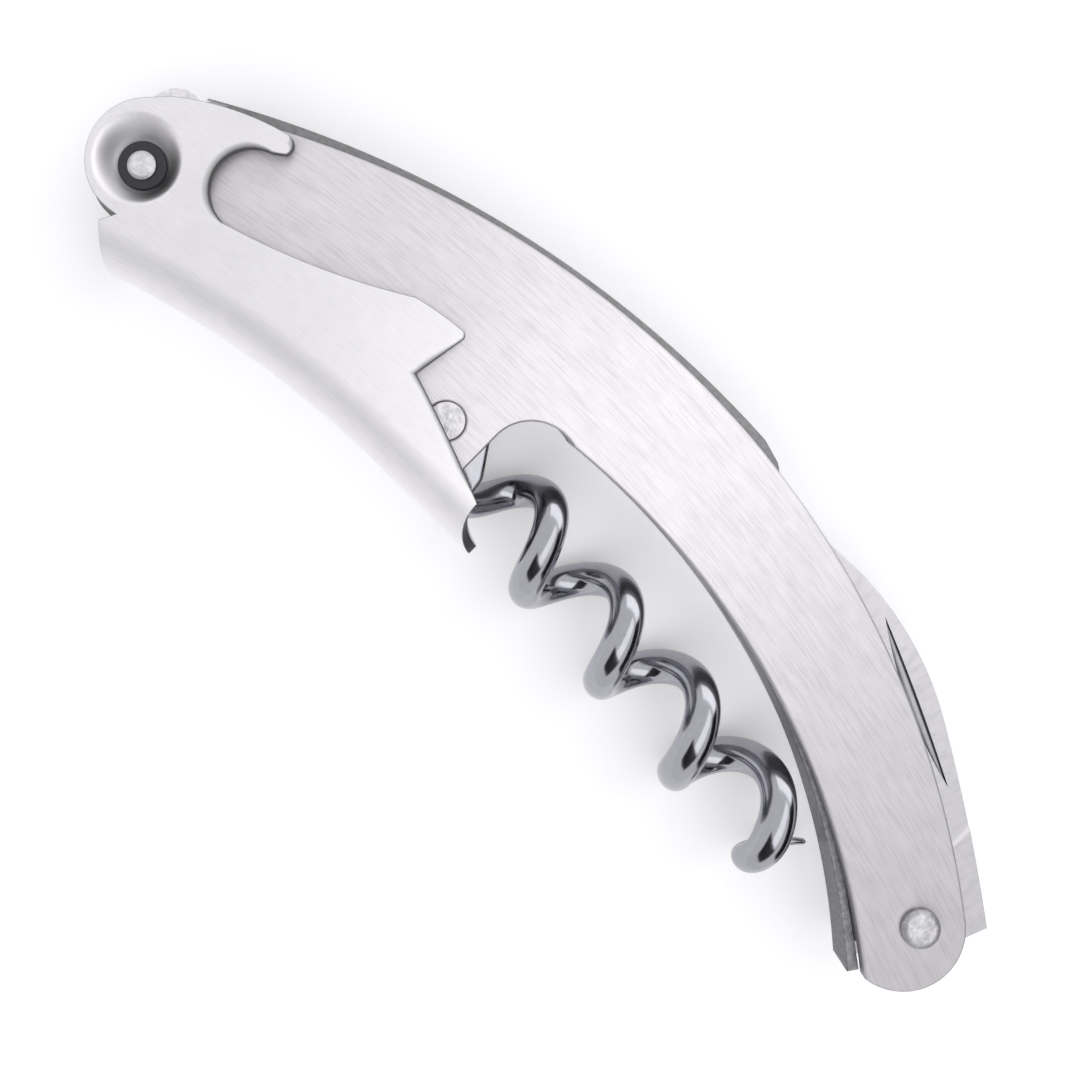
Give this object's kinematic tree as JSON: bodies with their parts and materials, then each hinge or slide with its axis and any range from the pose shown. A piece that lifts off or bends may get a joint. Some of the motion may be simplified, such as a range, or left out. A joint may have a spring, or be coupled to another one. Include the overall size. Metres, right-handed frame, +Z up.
{
  "type": "lever corkscrew",
  "caption": "Folding lever corkscrew: curved all-steel handle, hinged boot lever with bottle-opener mouth, swing-out worm and foil knife, closed and lying flat.",
  "frame": {"origin": "middle of the underside of the closed tool, which lies on its side", "axes": "+X from the lever pivot to the knife pivot, +Y to the convex back of the handle, +Z up through the thickness"},
  "size_m": [0.12, 0.0348, 0.0111],
  "materials": {
    "brushed_plate": "brushed along the handle",
    "spacer_steel": "blanked, dull",
    "spring_steel": "hardened, satin",
    "blade_steel": "ground across the blade",
    "lever_steel": "satin",
    "rivet_steel": "turned",
    "washer_steel": "dark, oiled",
    "worm_steel": "polished"
  },
  "bodies": {
    "handle": {"front_side_plate": "brushed_plate", "rear_side_plate": "brushed_plate", "centre_spacer": "spacer_steel", "knife_spring": "spring_steel", "lever_rivet": "rivet_steel", "knife_rivet": "rivet_steel", "worm_rivet": "rivet_steel", "spacer_rivets": "rivet_steel", "spring_rivets": "rivet_steel", "front_lever_washer": "washer_steel", "rear_lever_washer": "washer_steel"},
    "lever": {"boot_lever": "lever_steel"},
    "worm": {"worm": "worm_steel"},
    "knife": {"knife_blade": "blade_steel"}
  },
  "joints": [
    {"name": "lever_hinge", "type": "hinge", "parent": "handle", "child": "lever", "pos_m": [-0.05419, -0.00695, 0.00555], "axis": [0, 0, -1], "range_deg": [0, 190]},
    {"name": "worm_hinge", "type": "hinge", "parent": "handle", "child": "worm", "pos_m": [-0.01499, -0.00395, 0.00555], "axis": [0, 0, -1], "range_deg": [0, 95]},
    {"name": "knife_hinge", "type": "hinge", "parent": "handle", "child": "knife", "pos_m": [0.05361, -0.00695, 0.00555], "axis": [0, 0, -1], "range_deg": [0, 180], "deforming": ["knife_spring"]}
  ],
  "couplings": [
    {"joint": "worm_hinge", "follows": "lever_hinge", "ratio": 0.5}
  ]
}
